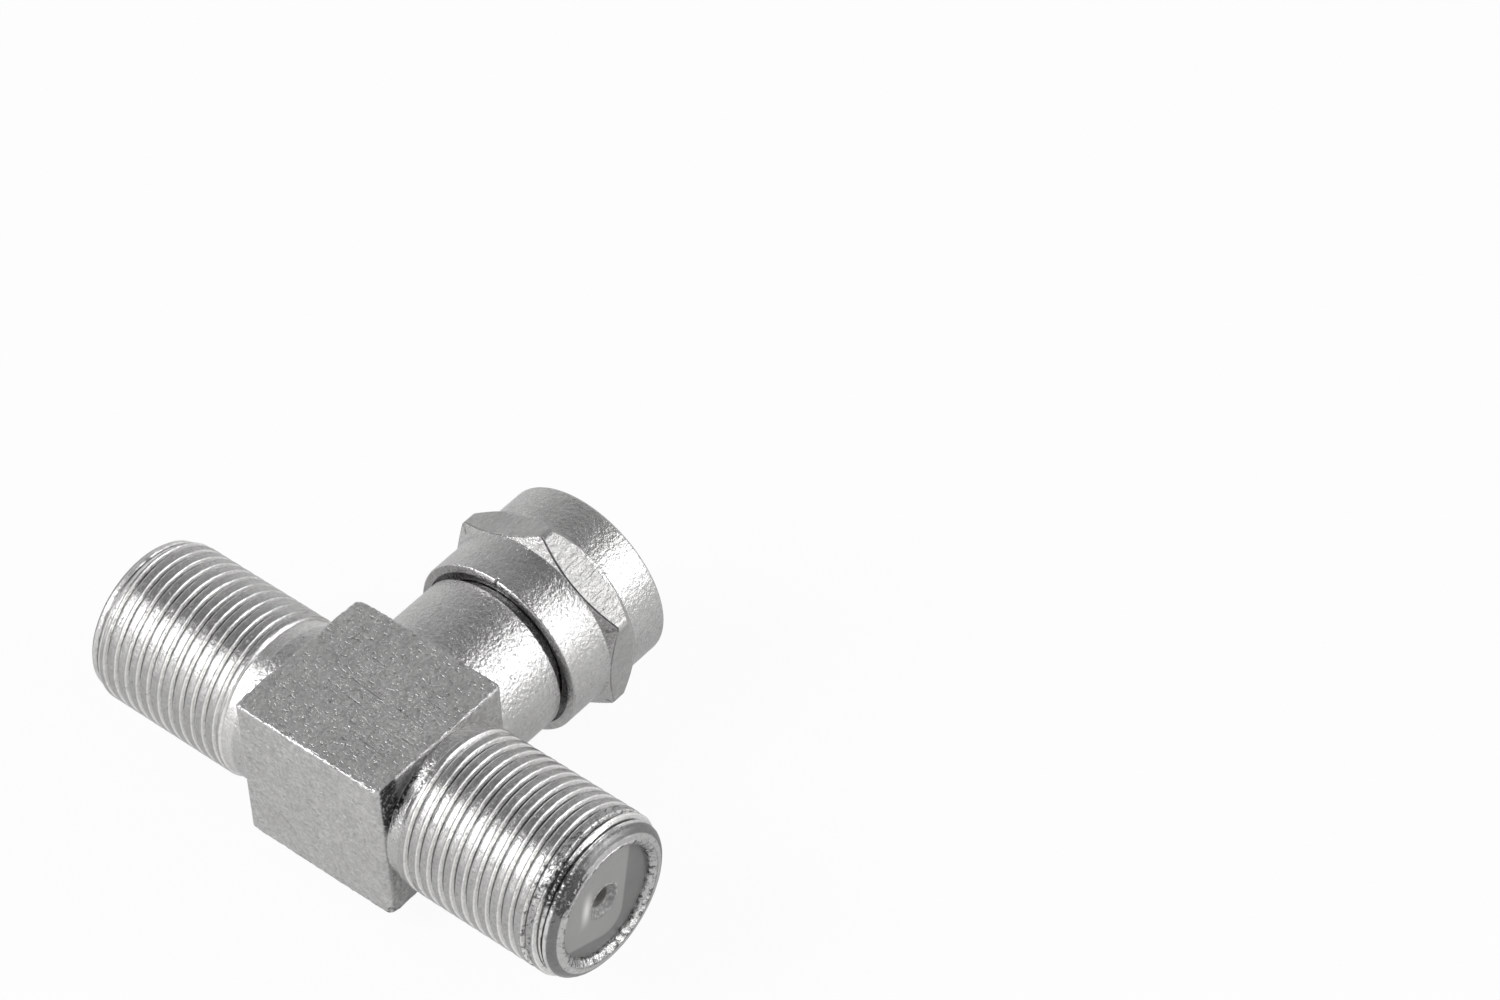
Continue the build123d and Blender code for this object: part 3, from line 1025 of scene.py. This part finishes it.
def nut_nickel():
    """Nickel over a turned and milled nut, scratched where a spanner grips it."""
    material, bench = new_material("nut_nickel")
    place, (x, y, z) = surface_places(bench)
    from_axis = bench.maths("SQRT", x * x + z * z)
    from_top = bench.maths("ARCTAN2", x, z)
    cloud, mottle, peel, fine = plate_grain(bench, place, 0.5, (7.0, 2.0, 6.0, 3.0))
    dark_specks = specks(bench, place, 5.0, 0.65, 5.0)
    # painted shade: the nut's inner surfaces are darkened
    inside_shade = bench.ramp(from_axis, 4.86, 4.8)

    # the six flats, as they are cut into the mesh, and how far the chamfer's cone lies over them
    off_flat = bench.maths("FLOORED_MODULO", from_top - (hex_turn - math.pi / 6), math.pi / 3) - math.pi / 6
    flat = hex_across_flats / 2 / bench.maths("COSINE", off_flat)
    cone = hex_cone_start + (y - hex_rear) / math.tan(hex_rear_chamfer_angle)
    cone_over_flat = cone - flat
    on_hexagon = bench.band(y, hex_rear + 0.1, hex_front - 0.1, 0.05)
    on_flat = on_hexagon * bench.ramp(cone_over_flat, 0.02, 0.06)
    on_flat = on_flat * bench.ramp(y, hex_front - 0.2, hex_front - 0.3)

    # dark lines in the flats' rear edges, a shallow groove deepened by painted shade, strongest on the upper
    # right flat, and on some corners
    on_upper_flat = bench.ramp(x, 0.4, 0.9) * bench.ramp(z, 2.2, 2.5)
    in_patches = bench.ramp(cloud, 0.3, 0.6) * 0.6
    flat_groove_and_shade = bench.band(cone_over_flat, -0.05, 0.08, 0.03)
    flat_groove_and_shade = flat_groove_and_shade * bench.maths("MAXIMUM", in_patches, on_upper_flat)
    on_corner = bench.ramp(bench.maths("ABSOLUTE", off_flat), 0.5, 0.512) * on_hexagon
    corner_line = on_corner * bench.ramp(flat - cone, 0.0, 0.03) * bench.ramp(mottle, 0.46, 0.54)
    spanner_place = bench.vector(x * 14, y * 0.7 + x * 0.5, z * 14)
    scratches = bench.ramp(bench.noise(spanner_place, 1.0, 3.0, 0.65, 1.0), 0.56, 0.72)
    scratches = scratches * (0.2 + on_hexagon * 0.8)

    # painted shade darkens the gap at the rear, and the rim beside it is cracked near the top
    gap_shade = bench.ramp(from_axis, 4.92, 4.86) * bench.ramp(y, nut_rear + 0.5, nut_rear + 0.4)
    rim_crack = bench.band(from_top + (mottle - 0.5) * 0.03, 0.04, 0.066, 0.009)
    rim_crack = rim_crack * bench.ramp(y, nut_rear + 0.3, nut_rear + 0.15)

    dark = dark_specks * 0.4 + scratches * 0.3 + inside_shade * 0.25 + flat_groove_and_shade * 0.82 + gap_shade * 0.4
    dark = dark + rim_crack * 0.75 + corner_line * 0.5
    tone = 0.62 + (cloud - 0.5) * 0.12 + (mottle - 0.5) * 0.14 - on_flat * 0.08
    tone = tone + (peel - 0.5) * 0.35 + (fine - 0.5) * 0.3
    roughness = 0.25 + (cloud - 0.4) * 0.12 + (mottle - 0.5) * 0.12 + on_flat * 0.16 + dark_specks * 0.15
    relief = peel * (0.07 - on_flat * 0.02) + fine * 0.006 - dark_specks * 0.012 - scratches * 0.012
    relief = relief - flat_groove_and_shade * 0.03 - rim_crack * 0.07
    finish_shader(bench, {"Metallic": 1.0}, {
        "Base Color": nickel_colour(bench, tone, dark, 0.82),
        "Roughness": roughness,
        "Normal": bench.bump(relief),
    })
    return material


def turned_metal(name, colour, roughness):
    """Plain turned metal with fine tool lines, for the parts inside."""
    material, bench = new_material(name)
    place, (x, y, z) = surface_places(bench)
    stain = bench.noise(place, 0.9, 3.0, 0.55, 2.0)
    lines = bench.noise(bench.vector(x * 8, y * 8, z * 8), 1.0, 3.0, 0.6, 4.0)
    darker = tuple(channel * 0.62 for channel in colour[:3]) + (1.0,)
    tint = bench.mix_colour(bench.ramp(stain, 0.35, 0.7), colour, darker)
    finish_shader(bench, {"Metallic": 1.0}, {
        "Base Color": tint,
        "Roughness": roughness + (stain - 0.5) * 0.2,
        "Normal": bench.bump(lines * 0.006),
    })
    return material


def insulator_plastic():
    """Milky grey-white moulded plastic."""
    material, bench = new_material("insulator_plastic")
    place, (_, y, z) = surface_places(bench)
    cloud = bench.noise(place, 0.6, 3.0, 0.5, 1.0)
    waves = bench.noise(place, 2.5, 3.0, 0.5, 3.0)
    dots = pitted(bench, place, 2.2, 0.12)

    # painted light and shadow: lighter inside a rounded zone on one side of the disc, darker beyond it where
    # the lip's shadow falls, with a painted highlight streak in it
    past_side = bench.maths("MAXIMUM", y - z * 0.22 - 0.13, 0.0)
    past_foot = bench.maths("MAXIMUM", -1.1 - y * 0.38 - z, 0.0)
    from_painted_lit_zone = bench.maths("SQRT", past_side * past_side + past_foot * past_foot)
    painted_lit_zone = bench.ramp(from_painted_lit_zone, 1.62, 1.42)
    from_painted_streak = bench.maths("ABSOLUTE", y - z * 0.2 + 1.4)
    painted_streak = bench.ramp(from_painted_streak, 0.5, 0.0) * bench.band(z, -0.3, 1.1, 0.7)

    # the funnel round the hole is crinkled, with painted highlights on its folds and painted shade between
    # them
    from_hole = bench.maths("SQRT", y * y + z * z)
    on_funnel = bench.band(from_hole, 0.6, 1.1, 0.06)
    crinkle = bench.noise(place, 4.5, 3.0, 0.7, 6.0)
    fold_highlights = bench.ramp(crinkle, 0.5, 0.7) * on_funnel
    fold_shade = bench.ramp(crinkle, 0.5, 0.4) * on_funnel

    # painted light: the lit zone and the highlight streak lighten the disc
    tone = 0.17 + painted_lit_zone * 0.125 + painted_streak * 0.4 + (cloud - 0.5) * 0.06 - dots * 0.12
    # painted highlights on the funnel's folds and painted shade between them
    tone = tone + fold_highlights * 0.3 - fold_shade * 0.08
    finish_shader(bench, {"IOR": 1.5}, {
        "Base Color": bench.mix_colour(tone, grey(0.0), plastic_white),
        "Roughness": 0.3 + (cloud - 0.5) * 0.15,
        "Normal": bench.bump(waves * 0.008 + crinkle * on_funnel * 0.06),
    })
    return material


def dress_nodes():
    """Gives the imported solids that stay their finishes."""
    plastic = insulator_plastic()
    bronze = turned_metal("ring_bronze_finish", (0.62, 0.42, 0.24, 1.0), 0.32)
    brass = turned_metal("contact_brass_finish", (0.78, 0.6, 0.32, 1.0), 0.28)
    finishes = {
        "plug_insulator": plastic,
        "retaining_ring": bronze,
        "plug_pin": brass,
        "junction_hub": brass,
    }
    for side in ("left", "right"):
        finishes[side + "_front_insulator"] = plastic
        finishes[side + "_rear_insulator"] = plastic
        finishes[side + "_contact"] = brass
    for name, finish in finishes.items():
        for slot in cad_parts[name].material_slots:
            slot.material = finish


# Camera, fitted to the photograph

def add_camera():
    place = Vector((141.655, -140.937, 215.244)) * MM
    right = Vector((0.7685238, 0.6390175, -0.0320608))
    forward = Vector((-0.4615598, 0.5190059, -0.7194411))
    up = right.cross(forward)
    data = bpy.data.cameras.new("camera")
    data.lens = 132.494
    data.sensor_width = 36.0
    data.clip_start = 0.01
    camera = bpy.data.objects.new("camera", data)
    camera.matrix_world = Matrix.Translation(place) @ Matrix((right, up, -forward)).transposed().to_4x4()
    bpy.context.scene.collection.objects.link(camera)
    bpy.context.scene.camera = camera


# Light

def softbox(name, toward, distance, width, height, glow):
    """A soft rectangular lamp seen from the object in that direction, as bright as glow times white."""
    toward = Vector(toward).normalized()
    turn = toward.to_track_quat("Z", "Y").to_matrix().to_4x4()
    data = bpy.data.lights.new(name, "AREA")
    data.shape = "RECTANGLE"
    data.size = width
    data.size_y = height
    data.energy = glow * math.pi * width * height
    lamp = bpy.data.objects.new(name, data)
    lamp.matrix_world = Matrix.Translation(crossing + toward * distance) @ turn
    bpy.context.scene.collection.objects.link(lamp)


def add_lamps():
    softbox("left_softbox", (-0.46, -0.59, 0.663), 0.45, 0.22, 0.25, 6.5)
    softbox("left_fill", (-0.44, -0.86, 0.28), 0.5, 0.3, 0.16, 1.15)
    softbox("right_softbox", (0.72, 0.52, 0.46), 0.45, 0.26, 0.3, 3.0)
    softbox("right_fill", (0.95, -0.03, 0.2), 0.5, 0.22, 0.14, 2.0)


def add_world():
    """A plain studio: pale near the horizon, darker overhead, and white behind the object."""
    world = bpy.data.worlds.new("studio")
    world.use_nodes = True
    world.node_tree.nodes.clear()
    bench = Bench(world.node_tree)
    _, _, up = bench.parts(bench.add("ShaderNodeTexCoord", output="Generated"))
    glow = bench.ramp(up, 0.02, 0.4, 0.86, 0.44) - bench.ramp(up, 0.74, 0.9, 0.0, 0.24)
    seen = bench.rays("Camera")[0]
    backdrop = bench.add("ShaderNodeBackground", None, {0: grey(1.0), 1: 1.0})
    studio = bench.add("ShaderNodeBackground", None, {0: grey(1.0), 1: glow})
    shown = bench.add("ShaderNodeMixShader", None, {0: seen, 1: studio, 2: backdrop})
    bench.add("ShaderNodeOutputWorld", None, {0: shown})
    bpy.context.scene.world = world


def add_floor():
    """A pale sheet of paper under the object, which keeps a soft shadow."""
    material, bench = new_material("floor_paper")
    direct, through, mirrored = bench.rays("Camera", "Transmission", "Glossy")
    seen = bench.maths("MAXIMUM", direct, through)
    paper = bench.add("ShaderNodeBsdfDiffuse", None, {0: grey(0.8)})
    white = bench.add("ShaderNodeEmission", None, {0: grey(1.0), 1: 1.0})
    pale = bench.add("ShaderNodeEmission", None, {0: grey(1.0), 1: 0.72})
    shown = bench.add("ShaderNodeMixShader", None, {0: seen * 0.94, 1: paper, 2: white})
    shown = bench.add("ShaderNodeMixShader", None, {0: mirrored * 0.4, 1: shown, 2: pale})
    bench.add("ShaderNodeOutputMaterial", None, {"Surface": shown})
    half = 3.0
    corners = [
        (-half, -half, floor_height),
        (half, -half, floor_height),
        (half, half, floor_height),
        (-half, half, floor_height),
    ]
    mesh = bpy.data.meshes.new("floor")
    mesh.from_pydata(corners, [], [(0, 1, 2, 3)])
    mesh.materials.append(material)
    floor = bpy.data.objects.new("floor", mesh)
    bpy.context.scene.collection.objects.link(floor)


add_camera()
add_lamps()
add_world()
add_floor()
bpy.context.scene.view_settings.view_transform = "Standard"
dress_nodes()
thread = thread_tree()
adapter_body(thread).data.materials.append(body_nickel())
coupling_nut(thread).data.materials.append(nut_nickel())
